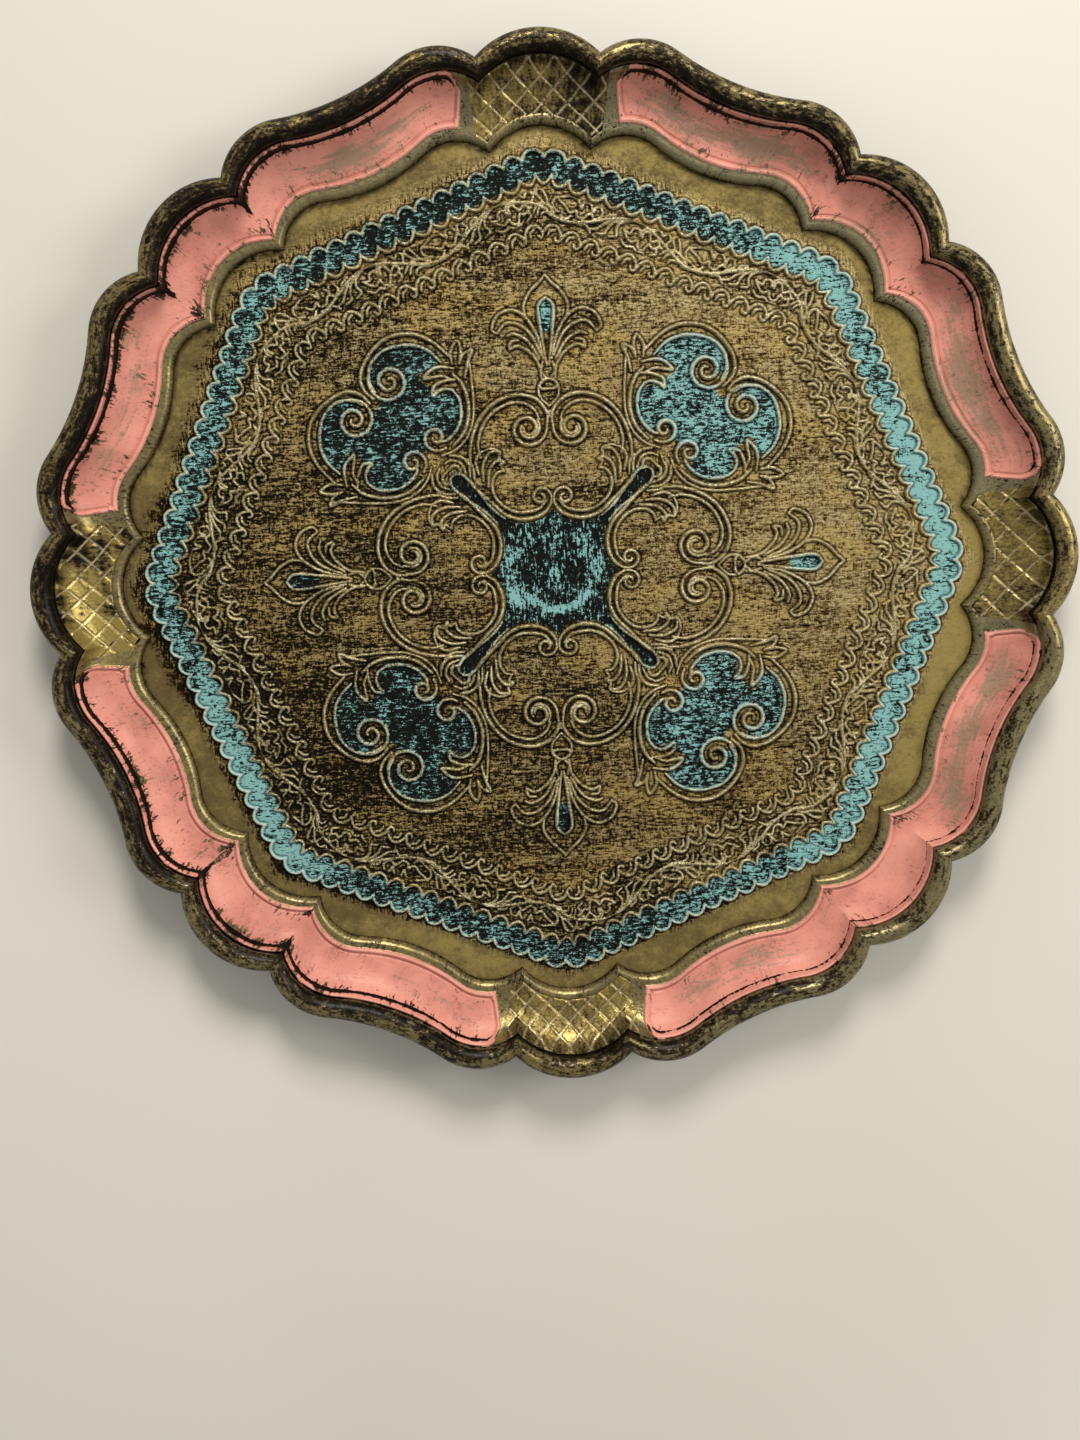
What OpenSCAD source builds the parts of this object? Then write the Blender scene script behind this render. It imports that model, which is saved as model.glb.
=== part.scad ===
// Round scalloped serving tray, gilded and painted wood, with raised composition ornament.
// Origin: centre of the underside. +Z up, the tray lying flat. +Y points at one lattice block.

/* [Outline] */
// Radius to the tip of a small lobe
tip_r = 166.8; // [160:0.2:172]
// Radius at the waist, midway between two small lobes
waist_r = 160.1; // [156:0.1:162]
// Angle from a small lobe's middle to its cusp
cusp_a = 6.9; // [6:0.1:8]
// Radius of a small lobe's arc
lobe_r = 26.9; // [25:0.1:30]
// Radius of the rounded shoulder beside a cusp
shoulder_r = 20.7; // [18:0.1:23]
// Radius of the hollow curve at the waist
hollow_r = 81.5; // [70:0.5:95]

/* [Rim] */
// Overall height of the tray
rim_h = 21; // [18:0.5:26]
// Width of the roll moulding round the edge
bead_w = 7.3; // [6:0.1:8]
// Width from the edge to the ridge at the foot of the cove
ridge_in = 21.8; // [20:0.2:23]
// Width from the edge to the step down into the well
step_in = 26.6; // [25:0.2:28]
// Height of the step above the underside
step_z = 7.8; // [6.5:0.1:9]
// Half the angle that a lattice block spans
block_a = 8.2; // [7.8:0.1:9]

/* [Boards] */
// Height of the floor's top face above the underside
floor_z = 4.5; // [4:0.1:5.5]
// Thickness of the back board
back_t = 1.5; // [1:0.1:2.5]
// Radius of the rebate that the boards sit in
rebate_r = 143; // [142:0.5:145]

/* [Ornament] */
// Height of the raised lines above the floor
line_h = 0.9; // [0.5:0.1:1.5]
// Height of the painted fields above the floor
field_h = 0.4; // [0.2:0.1:0.6]
// Scallops along each of the braid's eight sides
braid_n = 16; // [12:1:20]
// Waves of the vine in each quarter
vine_n = 4; // [3:1:7]

/* [Fixings] */
// Radius of a dowel between two rim pieces
dowel_r = 1.6; // [1:0.1:1.8]
// Length of a dowel
dowel_l = 16; // [10:1:20]
// Radius of a panel pin's shank
pin_r = 0.5; // [0.4:0.1:0.8]

/* [Hidden] */
SIDES = ["e", "n", "w", "s"];
CORNERS = ["ne", "nw", "sw", "se"];

PERIOD = 45;           // one small lobe and one long lobe
HALF = PERIOD / 2;
BOARD_GAP = 0.1;       // between the boards and the rebate
DOWEL_RADIUS_AT = 147.8;
DOWEL_Z = 3.2;
PIN_RADIUS_AT = 139.5;
PIN_L = 6.2;
PIN_HEAD_R = 1;
PIN_HEAD_T = 0.5;
GOLD = [0.56, 0.46, 0.2];
DARK = [0.2, 0.15, 0.1];
PINK = [0.86, 0.5, 0.5];
BLUE = [0.36, 0.62, 0.66];
STEEL = [0.6, 0.6, 0.6];
BEECH = [0.8, 0.66, 0.48];

// ---- outline, as a radius for each angle -------------------------------------------------

// Distance along a ray at angle a to a circle of radius r whose centre is c away at angle ca.
function far_hit(a, c, ca, r) = c * cos(a - ca) + sqrt(r * r - pow(c * sin(a - ca), 2));
function near_hit(a, c, ca, r) = c * cos(a - ca) - sqrt(r * r - pow(c * sin(a - ca), 2));
function at_angle(a, r) = [r * cos(a), r * sin(a)];
function angle_of(p) = atan2(p[1], p[0]);

lobe_c = tip_r - lobe_r;
cusp = at_angle(cusp_a, far_hit(cusp_a, lobe_c, 0, lobe_r));
hollow_c = at_angle(HALF, waist_r + hollow_r);
// The shoulder's arc starts at the cusp and runs smoothly into the hollow curve.
span = hollow_c - cusp;
reach = hollow_r + shoulder_r;
along = (pow(shoulder_r, 2) - pow(reach, 2) + span * span) / (2 * norm(span));
aside = sqrt(pow(shoulder_r, 2) - pow(along, 2));
shoulder_c = cusp + (along * span + aside * [-span[1], span[0]]) / norm(span);
blend_a = angle_of(hollow_c + (shoulder_c - hollow_c) * hollow_r / reach);

// Angle from the middle of the nearest small lobe, 0 to 22.5.
function folded(a) = abs(a - PERIOD * round(a / PERIOD));
function outline(a) =
    let (f = folded(a))
    f < cusp_a ? far_hit(f, lobe_c, 0, lobe_r)
    : f < blend_a ? far_hit(f, norm(shoulder_c), angle_of(shoulder_c), shoulder_r)
    : near_hit(f, norm(hollow_c), HALF, hollow_r);

// ---- rim ---------------------------------------------------------------------------------

bead_rise = rim_h - 17;
cove_top = 16;
cove_w = ridge_in - bead_w - 2.2;
COVE_STEPS = 5;
// The top of the rim as [distance in from the edge, height], from the edge inwards.
top_profile = concat(
    [[0.9, 13.4], [0, 17]],
    [for (t = [30, 60, 90, 120, 155]) [bead_w / 2 * (1 - cos(t)), 17 + bead_rise * sin(t)]],
    [[bead_w, 17], [bead_w + 1.3, cove_top + 0.6]],
    [for (i = [0:COVE_STEPS]) let (t = 90 * i / COVE_STEPS)
        [bead_w + 1.6 + cove_w * (1 - cos(t)), cove_top - (cove_top - step_z + 0.2) * sin(t)]],
    [[ridge_in, step_z + 0.5], [ridge_in + 1, step_z + 0.4]],
    [[step_in - 0.5, step_z - 0.2], [step_in, step_z - 0.9]]
);
// A full section at angle a as [radius, height]: the top, then the rebate and the underside.
function section(a) =
    let (r = outline(a))
    concat(
        [for (p = top_profile) [r - p[0], p[1]]],
        [[r - step_in, floor_z], [rebate_r, floor_z], [rebate_r, 0]],
        [[r - 12.4, 0], [r - 7.5, 3.6], [r - 3.4, 9]]
    );

// Steps along the small lobe, the shoulder and the hollow curve, from a lobe's middle to a waist.
STEPS = [4, 6, 2];
BREAKS = [0, cusp_a, blend_a, HALF];
half_angles = [for (j = [0:2]) for (i = [0:STEPS[j] - 1])
    BREAKS[j] + (BREAKS[j + 1] - BREAKS[j]) * i / STEPS[j]];
// Every angle at which the rim has a section over one period, starting from a small lobe.
lobe_angles = concat(half_angles, [HALF],
    [for (i = [len(half_angles) - 1:-1:1]) PERIOD - half_angles[i]]);
all_angles = [for (k = [-1:8]) for (a = lobe_angles) k * PERIOD + a];
function stations(a0, a1) =
    concat([a0], [for (a = all_angles) if (a > a0 + 0.3 && a < a1 - 0.3) a], [a1]);

module swept(a0, a1) {
    at = stations(a0, a1);
    m = len(section(0));
    n = len(at);
    points = [for (a = at) for (p = section(a)) [p[0] * cos(a), p[0] * sin(a), p[1]]];
    sides = [for (i = [0:n - 2]) for (j = [0:m - 1]) let (k = (j + 1) % m)
        each [[i * m + j, i * m + k, (i + 1) * m + k], [i * m + j, (i + 1) * m + k, (i + 1) * m + j]]];
    caps = [[for (j = [m - 1:-1:0]) j], [for (j = [0:m - 1]) (n - 1) * m + j]];
    polyhedron(points, concat(sides, caps), convexity = 6);
}

// The dowel across the joint at angle a.
module dowel(a, r, l) {
    rotate([0, 0, a]) translate([DOWEL_RADIUS_AT, 0, DOWEL_Z])
        rotate([90, 0, 0]) cylinder(r = r, h = l, center = true, $fn = 32);
}

module rim_corner(k) {
    a0 = 90 * k + block_a;
    a1 = 90 * k + 90 - block_a;
    color(PINK) difference() {
        swept(a0, a1);
        dowel(a0, dowel_r, dowel_l);
        dowel(a1, dowel_r, dowel_l);
        at_pins() pin_body();
    }
}

module rim_block(k) {
    color(GOLD) difference() {
        swept(90 * k - block_a, 90 * k + block_a);
        dowel(90 * k - block_a, dowel_r, dowel_l);
        dowel(90 * k + block_a, dowel_r, dowel_l);
        at_pins() pin_body();
    }
}

module rim_dowels() {
    color(BEECH) for (k = [0:3]) for (s = [-1, 1]) dowel(90 * k + s * block_a, dowel_r, dowel_l);
}

// ---- boards and pins ---------------------------------------------------------------------

module at_pins() {
    for (k = [0:7]) for (s = [-1, 1])
        rotate([0, 0, k * PERIOD + s * cusp_a]) translate([PIN_RADIUS_AT, 0, 0]) children();
}

module pin_body() {
    cylinder(r = PIN_HEAD_R, h = PIN_HEAD_T, $fn = 24);
    cylinder(r = pin_r, h = PIN_L, $fn = 24);
}

module board(z0, z1, c) {
    color(c) difference() {
        translate([0, 0, z0]) cylinder(r = rebate_r - BOARD_GAP, h = z1 - z0, $fn = 180);
        at_pins() pin_body();
    }
}

module back_board() { board(0, back_t, DARK); }
module floor_board() { board(back_t, floor_z, GOLD); }
module panel_pins() { color(STEEL) at_pins() pin_body(); }

// ---- ornament ----------------------------------------------------------------------------

// A smooth line through a list of points.
function spline(p, n = 4) =
    let (q = concat([2 * p[0] - p[1]], p, [2 * p[len(p) - 1] - p[len(p) - 2]]))
    concat([for (i = [1:len(p) - 1]) for (k = [0:n - 1]) let (t = k / n)
        0.5 * (2 * q[i] + (q[i + 1] - q[i - 1]) * t
        + (2 * q[i - 1] - 5 * q[i] + 4 * q[i + 1] - q[i + 2]) * t * t
        + (3 * q[i] - q[i - 1] - 3 * q[i + 1] + q[i + 2]) * t * t * t)], [p[len(p) - 1]]);

function reversed(p) = [for (i = [len(p) - 1:-1:0]) p[i]];

function unit(v) = v / norm(v);
function turned(v) = [-v[1], v[0]];
function heading(p, i) = unit(p[min(i + 1, len(p) - 1)] - p[max(i - 1, 0)]);

module raised(h) { translate([0, 0, floor_z]) linear_extrude(h) children(); }
module both_sides() { children(); mirror([1, 0, 0]) children(); }
// A ribbon of width w along a smooth line, piece by piece so that it may cross itself.
module stroke(p, w) {
    line = spline(p);
    side = [for (i = [0:len(line) - 1]) turned(heading(line, i)) * w / 2];
    for (i = [1:len(line) - 1])
        polygon([line[i - 1] + side[i - 1], line[i] + side[i], line[i] - side[i], line[i - 1] - side[i - 1]]);
}

// Radius of an eight-sided ring with a rounded corner towards +X. Its sides are side_a from the
// centre, and its corners' arcs are centred on the corners of an octagon whose sides are core_a away.
function octagon(a, side_a, core_a) =
    let (f = folded(a + HALF))
    f < atan2(core_a * tan(HALF), side_a) ? side_a / cos(f)
    : far_hit(f, core_a / cos(HALF), HALF, side_a - core_a);
function ring(rs) = [for (i = [0:len(rs) - 1]) let (a = 360 * i / len(rs))
    rs[i] * [cos(a), sin(a)]];

BRAID_OUT = 121.3;
BRAID_IN = 116.8;
BRAID_CORE = 103;
BRAID_BUMP = 2.7;
BUMP_POINTS = 4;
// A ring of scallops that follows an octagon and stands out by bump at each scallop's middle.
function scalloped(side_a, core_a, bump, per_side, m = BUMP_POINTS) =
    [for (i = [0:8 * per_side * m - 1]) let (a = 360 * i / (8 * per_side * m))
        (octagon(a, side_a, core_a) + bump * abs(sin(180 * i / m)))];

module braid_border() {
    color(BLUE) raised(line_h) difference() {
        polygon(ring(scalloped(BRAID_OUT, BRAID_CORE, BRAID_BUMP, braid_n)));
        polygon(ring(scalloped(BRAID_IN, BRAID_CORE, -BRAID_BUMP, braid_n)));
    }
}

VINE_A = 109;
VINE_CORE = 98;
VINE_SWING = 3.6;
VINE_W = 1.1;
VINE_STEP = 3;
LEAF = [[0, -1.6], [2.4, -0.6], [4.6, -1.6], [3.8, 0], [4.6, 1.6], [2.4, 0.6], [0, 1.6]];
function vine_r(a) = octagon(a, VINE_A, VINE_CORE) + VINE_SWING * sin(4 * vine_n * a);
module vine_border() {
    at = [for (a = [0:VINE_STEP:359]) vine_r(a)];
    color(GOLD) {
        raised(line_h) difference() {
            polygon(ring([for (r = at) r + VINE_W / 2]));
            polygon(ring([for (r = at) r - VINE_W / 2]));
        }
        for (i = [0:8 * vine_n - 1]) let (a = (i + 0.5) * 45 / vine_n, side = i % 2 == 0 ? -1 : 1)
            rotate([0, 0, a]) translate([vine_r(a) + side * 0.2, 0])
                raised(line_h) scale([side, 1]) polygon(LEAF);
    }
}

LACE_A = 99.7;
LACE_CORE = 94;
LACE_BUMP = 2.6;
LACE_W = 1.2;
LACE_N = 13;
module lace_border() {
    at = scalloped(LACE_A, LACE_CORE, LACE_BUMP, LACE_N, 3);
    color(GOLD) raised(line_h) difference() {
        polygon(ring([for (r = at) r + LACE_W / 2]));
        polygon(ring([for (r = at) r - LACE_W / 2]));
    }
}

// One eighth of the centre panel's edge, from the north cusp round to the arm's tip.
PANEL_EDGE = [[0, 21.4], [2.6, 18.5], [6.5, 16.8], [11, 16.6], [15.5, 18.3], [20, 22.2],
    [25, 26.8], [27.3, 29.8], [29.2, 31.6], [31, 31]];
panel_eighth = spline(PANEL_EDGE, 3);
panel_quarter = concat(panel_eighth, reversed([for (i = [1:len(panel_eighth) - 2])
    [panel_eighth[i][1], panel_eighth[i][0]]]));
function quarter_turns(p) = [for (k = [0:3]) for (q = p)
    [q[0] * cos(-90 * k) - q[1] * sin(-90 * k), q[0] * sin(-90 * k) + q[1] * cos(-90 * k)]];
module centre_panel() {
    color(BLUE) raised(field_h) polygon(quarter_turns(panel_quarter));
}

UPPER_SCROLL = [[24.3, 37], [24.6, 41.5], [22.7, 47.5], [18.9, 52.4], [13.8, 55.2], [8.8, 55.6],
    [4.7, 53.8], [2.4, 50.3], [2.4, 46.5], [4.2, 43.2], [7.4, 41.6], [10.4, 42.8], [11.5, 45.8],
    [10, 48.2], [7.4, 47.8]];
LOWER_SCROLL = [[4.8, 25], [2.6, 24], [3, 20.8], [6.8, 18.3], [11.5, 18.2], [15.6, 20.4],
    [19.2, 24.6], [20.4, 28.8], [19.2, 33], [16.6, 36]];
LINK = [[16.6, 36], [20, 38.6], [24, 39]];
module heart_scroll(k) {
    color(GOLD) rotate([0, 0, 90 * k - 90]) raised(line_h) {
        both_sides() {
            stroke(UPPER_SCROLL, 2.4);
            stroke(LOWER_SCROLL, 1.6);
            stroke(LINK, 1.6);
        }
        translate([0, 50.6]) circle(r = 2, $fn = 24);
    }
}

DROP = [[0, 67], [1.2, 75], [2.2, 82], [1.8, 85.4], [0, 87]];
HOOD = [[6, 79.6], [6.8, 84.6], [5, 88.6], [1.8, 91.8], [-0.2, 94]];
PETALS = [
    [[0.2, 69], [3.4, 76], [8, 81], [12, 81.8], [16, 79.5]],
    [[0.2, 66.6], [5, 73], [10, 76.4], [13, 76]],
    [[0.6, 61.4], [2.6, 67], [6.4, 70.6], [11, 72.2]]
];
module palmette(k) {
    drop = spline(DROP);
    color(GOLD) rotate([0, 0, 90 * k - 90]) raised(line_h) {
        polygon(concat(drop, reversed([for (i = [1:len(drop) - 2]) [-drop[i][0], drop[i][1]]])));
        both_sides() {
            stroke(HOOD, 1.2);
            for (p = PETALS) stroke(p, 1.6);
        }
        stroke([[0, 60], [0, 70]], 1.6);
        translate([0, 60.4]) circle(r = 2.4, $fn = 24);
    }
}

// Half of a cartouche's edge, from its inner end on the diagonal round to its outer notch.
CARTOUCHE_EDGE = [[40.6, 40.6], [37.6, 39.4], [33, 40.4], [29, 43.8], [26.4, 49], [26.1, 55],
    [27.6, 61], [30.6, 66], [35.4, 72], [40.4, 75.6], [46, 76.8], [52, 75.2], [57, 71],
    [59.4, 65.5], [59, 60.5], [57.6, 57.6]];
BIG_VOLUTE = [50.4, 62.2];
SMALL_VOLUTE = [36.2, 44.6];
module cartouche(k) {
    half = spline(CARTOUCHE_EDGE, 2);
    rotate([0, 0, 90 * k]) {
        color(BLUE) raised(field_h) polygon(concat(half, reversed([for (i = [1:len(half) - 2])
            [half[i][1], half[i][0]]])));
        color(GOLD) translate([0, 0, field_h]) raised(line_h - field_h)
            for (c = [BIG_VOLUTE, [BIG_VOLUTE[1], BIG_VOLUTE[0]]]) translate(c)
                circle(r = 5.8, $fn = 32);
        color(GOLD) translate([0, 0, field_h]) raised(line_h - field_h)
            for (c = [SMALL_VOLUTE, [SMALL_VOLUTE[1], SMALL_VOLUTE[0]]]) translate(c)
                circle(r = 3.6, $fn = 32);
    }
}

// ---- the tray ----------------------------------------------------------------------------

back_board();
floor_board();
rim_corner(0);  // rim_corner_ne
rim_corner(1);  // rim_corner_nw
rim_corner(2);  // rim_corner_sw
rim_corner(3);  // rim_corner_se
rim_block(0);  // rim_block_e
rim_block(1);  // rim_block_n
rim_block(2);  // rim_block_w
rim_block(3);  // rim_block_s
rim_dowels();
panel_pins();
braid_border();
vine_border();
lace_border();
centre_panel();
heart_scroll(0);  // heart_scroll_e
heart_scroll(1);  // heart_scroll_n
heart_scroll(2);  // heart_scroll_w
heart_scroll(3);  // heart_scroll_s
palmette(0);  // palmette_e
palmette(1);  // palmette_n
palmette(2);  // palmette_w
palmette(3);  // palmette_s
cartouche(0);  // cartouche_ne
cartouche(1);  // cartouche_nw
cartouche(2);  // cartouche_sw
cartouche(3);  // cartouche_se
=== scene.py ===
"""A round scalloped serving tray, gilded and painted, with raised ornament, lying on a pale floor.

Lengths on the tray are in millimetres, which make_piece() turns into metres. The camera, the lights
and the stage are in metres. Angles are in degrees.
"""
import math

import bpy
import numpy as np
from mathutils import Matrix, Vector


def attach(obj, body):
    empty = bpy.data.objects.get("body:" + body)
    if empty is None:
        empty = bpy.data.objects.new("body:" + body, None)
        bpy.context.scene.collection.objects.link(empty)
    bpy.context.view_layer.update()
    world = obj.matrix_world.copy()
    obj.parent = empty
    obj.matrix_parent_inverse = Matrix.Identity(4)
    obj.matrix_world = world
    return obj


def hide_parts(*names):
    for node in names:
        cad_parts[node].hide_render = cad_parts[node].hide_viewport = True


MM = 0.001
TURN = 360

# The tray's outline: 8 small lobes, and 8 long ones with a waist in the middle.
PERIOD = 45
HALF = PERIOD / 2
TIP_R, WAIST_R = 166.8, 160.1
CUSP_A = 6.9
LOBE_R, SHOULDER_R, HOLLOW_R = 26.9, 20.7, 81.5
BLOCK_A = 8.2
CUSP_BLEND = 3.5

# The rim's section, as heights and as distances in from the edge.
RIM_H, BEAD_BASE, BEAD_W = 21.0, 17.0, 7.3
COVE_START, COVE_END, COVE_TOP = 8.6, 22.4, 16.4
STEP_IN, STEP_Z = 26.6, 7.8
LEDGE_W, LEDGE_DROP = 1.7, 1.1
FLOOR_Z, BACK_T, REBATE_R, BOARD_GAP = 4.5, 1.5, 143.0, 0.1
COVE_MID = (COVE_START + COVE_END) / 2

# The pink panels: in from the edge, in from a joint (more so further in), and round at the corners.
PANEL_OUT, PANEL_IN = 7.4, 23.4
PANEL_END, PANEL_END_R, PANEL_FLARE = 23.2, 157, 0.11
PANEL_CORNER = 5.5

# The gilt blocks: how far apart the cuts are, how much gold is left, and how patchy it is.
LATTICES = {"e": (7.0, 0.80, 0.15), "n": (5.8, 0.66, 0.35), "w": (5.6, 0.96, 0.9), "s": (4.9, 0.80, 0.1)}
CUT_W, CUT_DEPTH = 0.55, 0.42

CORNERS = ("ne", "nw", "sw", "se")
# Sizes of the squares the relief is built on.
RELIEF_STEP, RING_STEP = 0.28, 0.36

# The camera, in metres: where it is, what it looks at, and how it is turned.
CAMERA_AT = (-0.0155, 0.0422, 0.6025)
CAMERA_AIM = (-0.0068, -0.0485, FLOOR_Z * MM)
CAMERA_ROLL = -2.2
CAMERA_LENS = 46


# ---- small helpers ----

def cosd(a):
    return np.cos(np.radians(a))


def sind(a):
    return np.sin(np.radians(a))


def smooth(x, low, high):
    """0 below low, 1 above high, and a smooth rise between them."""
    t = np.clip((x - low) / (high - low), 0, 1)
    return t * t * (3 - 2 * t)


def hump(x, centre, width):
    """1 at the centre, falling away smoothly to either side."""
    return np.exp(-((x - centre) / width) ** 2)


def ripple(a, b, seed):
    """A gentle wandering value between -1 and 1, from a few sines with fixed phases."""
    phase = np.random.default_rng(seed).uniform(0, 2 * np.pi, 4)
    return (np.sin(a * 0.11 + phase[0]) + np.sin(b * 0.13 + a * 0.05 + phase[1])
            + np.sin(a * 0.31 + b * 0.09 + phase[2]) + np.sin(b * 0.29 + phase[3])) / 4


def turn_from(a, start):
    """The angle from start round to a, between -180 and 180."""
    return (a - start + TURN / 2) % TURN - TURN / 2


def link(name, data):
    """A new object in the scene."""
    made = bpy.data.objects.new(name, data)
    bpy.context.scene.collection.objects.link(made)
    return made


def make_piece(name, points, faces, values, paint, nodes, sharp=38):
    """A smooth-shaded mesh that stands in for some nodes. Points are in millimetres, and values
    holds numbers or vectors for the paint, one per point."""
    mesh = bpy.data.meshes.new(name)
    mesh.from_pydata((np.asarray(points) * MM).tolist(), [], faces)
    mesh.validate()
    mesh.polygons.foreach_set("use_smooth", [True] * len(mesh.polygons))
    mesh.set_sharp_from_angle(angle=math.radians(sharp))
    for key, data in values.items():
        data = np.asarray(data, np.float32)
        kind, field = ("FLOAT_VECTOR", "vector") if data.ndim == 2 else ("FLOAT", "value")
        mesh.attributes.new(key, kind, "POINT").data.foreach_set(field, data.ravel())
    mesh.materials.append(paint)
    piece = link(name, mesh)
    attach(piece, "root")
    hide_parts(*nodes)
    return piece


def grid_faces(rows, columns, closed=False, tube=False):
    """Quads over a rows x columns grid of points. closed joins the last row to the first, and tube
    joins the last column to the first."""
    i, j = np.meshgrid(np.arange(rows - (not closed)), np.arange(columns - (not tube)), indexing="ij")
    a, b, k = i * columns, (i + 1) % rows * columns, (j + 1) % columns
    return np.stack([a + j, a + k, b + k, b + j], -1).reshape(-1, 4)


# ---- outline ----

def hit(a, c, ca, r, side=1):
    """Distance along a ray at angle a to the far side of a circle of radius r, whose centre is at
    distance c and angle ca, or to the near side where side is -1."""
    return c * cosd(a - ca) + side * np.sqrt(np.maximum(r * r - (c * sind(a - ca)) ** 2, 0))


def shoulder_arc():
    """The shoulder's centre and the angle where it meets the hollow curve.
    Its arc starts at the cusp and touches the hollow curve."""
    cusp = hit(CUSP_A, TIP_R - LOBE_R, 0, LOBE_R) * np.array([cosd(CUSP_A), sind(CUSP_A)])
    hollow = (WAIST_R + HOLLOW_R) * np.array([cosd(HALF), sind(HALF)])
    span, reach = hollow - cusp, HOLLOW_R + SHOULDER_R
    gap = np.linalg.norm(span)
    along = (SHOULDER_R ** 2 - reach ** 2 + gap ** 2) / (2 * gap)
    aside = math.sqrt(SHOULDER_R ** 2 - along ** 2)
    centre = cusp + (along * span + aside * np.array([-span[1], span[0]])) / gap
    blend = hollow + (centre - hollow) * HOLLOW_R / reach
    return (np.linalg.norm(centre), math.degrees(math.atan2(centre[1], centre[0])),
            math.degrees(math.atan2(blend[1], blend[0])))


SHOULDER_C, SHOULDER_CA, BLEND_A = shoulder_arc()


def folded(a):
    """The angle from the middle of the nearest small lobe, 0 to 22.5."""
    return np.abs(a - PERIOD * np.round(a / PERIOD))


def outline(a):
    f = folded(np.asarray(a, float))
    lobe = hit(f, TIP_R - LOBE_R, 0, LOBE_R)
    shoulder = hit(f, SHOULDER_C, SHOULDER_CA, SHOULDER_R)
    hollow = hit(f, WAIST_R + HOLLOW_R, HALF, HOLLOW_R, -1)
    return np.where(f < CUSP_A, lobe, np.where(f < BLEND_A, shoulder, hollow))


# ---- materials ----

class Paint:
    """One material, built up in small steps. A step returns the socket that holds its result."""

    def __init__(self, name, roughness=0.5, gloss=0.5):
        self.material = bpy.data.materials.new(name)
        self.material.use_nodes = True
        self.tree = self.material.node_tree
        self.shader = self.tree.nodes["Principled BSDF"]
        self.shader.inputs["Roughness"].default_value = roughness
        self.shader.inputs["Specular IOR Level"].default_value = gloss
        self.place = self.add("ShaderNodeTexCoord").outputs["Object"]

    def add(self, kind, inputs=(), **settings):
        """A node with its settings, and a number or a socket fed to each of the inputs."""
        node = self.tree.nodes.new(kind)
        for key, value in settings.items():
            setattr(node, key, value)
        for key, value in dict(inputs).items():
            self.feed(node.inputs[key], value)
        return node

    def feed(self, socket, value):
        if isinstance(value, bpy.types.NodeSocket):
            self.tree.links.new(value, socket)
        else:
            socket.default_value = value

    def value(self, name, output="Fac"):
        return self.add("ShaderNodeAttribute", attribute_name=name).outputs[output]

    def maths(self, operation, a, b):
        return self.add("ShaderNodeMath", {0: a, 1: b}, operation=operation).outputs[0]

    def times(self, a, b):
        return self.maths("MULTIPLY", a, b)

    def rest(self, value):
        """What is left of 1 without the value."""
        return self.maths("SUBTRACT", 1.0, value)

    def total(self, *parts):
        """A sum of sockets, numbers and (socket, weight) pairs."""
        result = 0.0
        for part in parts:
            term = self.times(*part) if isinstance(part, tuple) else part
            result = self.maths("ADD", term, result)
        return result

    def wander(self, *parts):
        """A weighted sum of noises, moved so that it averages nothing."""
        return self.total(*parts, -0.5 * sum(weight for _, weight in parts))

    def ramp(self, value, low, high, start=0.0, end=1.0):
        """A smooth change from start, where the value is low, to end, where it is high."""
        inputs = {"Value": value, "From Min": low, "From Max": high, "To Min": start, "To Max": end}
        return self.add("ShaderNodeMapRange", inputs, interpolation_type="SMOOTHSTEP").outputs["Result"]

    def mix(self, amount, a, b):
        a, b = ((*colour, 1) if isinstance(colour, tuple) else colour for colour in (a, b))
        return self.add("ShaderNodeMix", {0: amount, 6: a, 7: b}, data_type="RGBA").outputs[2]

    def noise(self, per_mm, detail, rough, shift, place=None):
        """Noise with so many cells per millimetre along x, y and z; place is in mm if given."""
        scale = [cells if place else cells / MM for cells in per_mm]
        inputs = {0: place or self.place, 1: scale, 2: (shift, shift * 1.7, shift * 0.6)}
        scaled = self.add("ShaderNodeVectorMath", inputs, operation="MULTIPLY_ADD").outputs[0]
        inputs = {"Vector": scaled, "Scale": 1.0, "Detail": detail, "Roughness": rough}
        return self.add("ShaderNodeTexNoise", inputs).outputs["Fac"]

    def sheen_drift(self, east, north):
        """A value that rises slowly across the tray, by so much per metre, for a painted sheen."""
        place = self.add("ShaderNodeSeparateXYZ", {0: self.place}).outputs
        return self.total((place["X"], east), (place["Y"], north))

    def bump(self, height, depth_mm):
        inputs = {"Strength": 1.0, "Distance": depth_mm * MM, "Height": height}
        self.feed(self.shader.inputs["Normal"], self.add("ShaderNodeBump", inputs).outputs["Normal"])

    def finish(self, colour, metallic=0.0, roughness=None):
        self.feed(self.shader.inputs["Base Color"], colour)
        self.feed(self.shader.inputs["Metallic"], metallic)
        if roughness is not None:
            self.feed(self.shader.inputs["Roughness"], roughness)
        return self.material


GROUND = (0.0035, 0.0022, 0.0008)
UMBER = (0.012, 0.0055, 0.0008)
RUST = (0.078, 0.043, 0.011)
OLD_GOLD = (0.150, 0.110, 0.042)
GOLD = (0.345, 0.280, 0.142)
DIM_GOLD = (0.200, 0.176, 0.092)
LINE_GOLD = (0.58, 0.52, 0.34)
YELLOW_GOLD = (0.330, 0.248, 0.072)
RED_GOLD = (0.245, 0.165, 0.065)
AMBER = (0.315, 0.232, 0.080)
EARTH = (0.030, 0.019, 0.007)
GLINT_GOLD = (0.56, 0.47, 0.27)
OLIVE = (0.190, 0.178, 0.110)
SALMON = (0.62, 0.262, 0.200)
DEEP_SALMON = (0.47, 0.175, 0.135)
LIP_HIGHLIGHT_SALMON = (0.80, 0.42, 0.34)
TURQUOISE = (0.190, 0.380, 0.368)
DULL_BLUE = (0.46, 0.53, 0.47)
SLATE = (0.018, 0.027, 0.023)
SOOT = (0.004, 0.005, 0.004)


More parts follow.
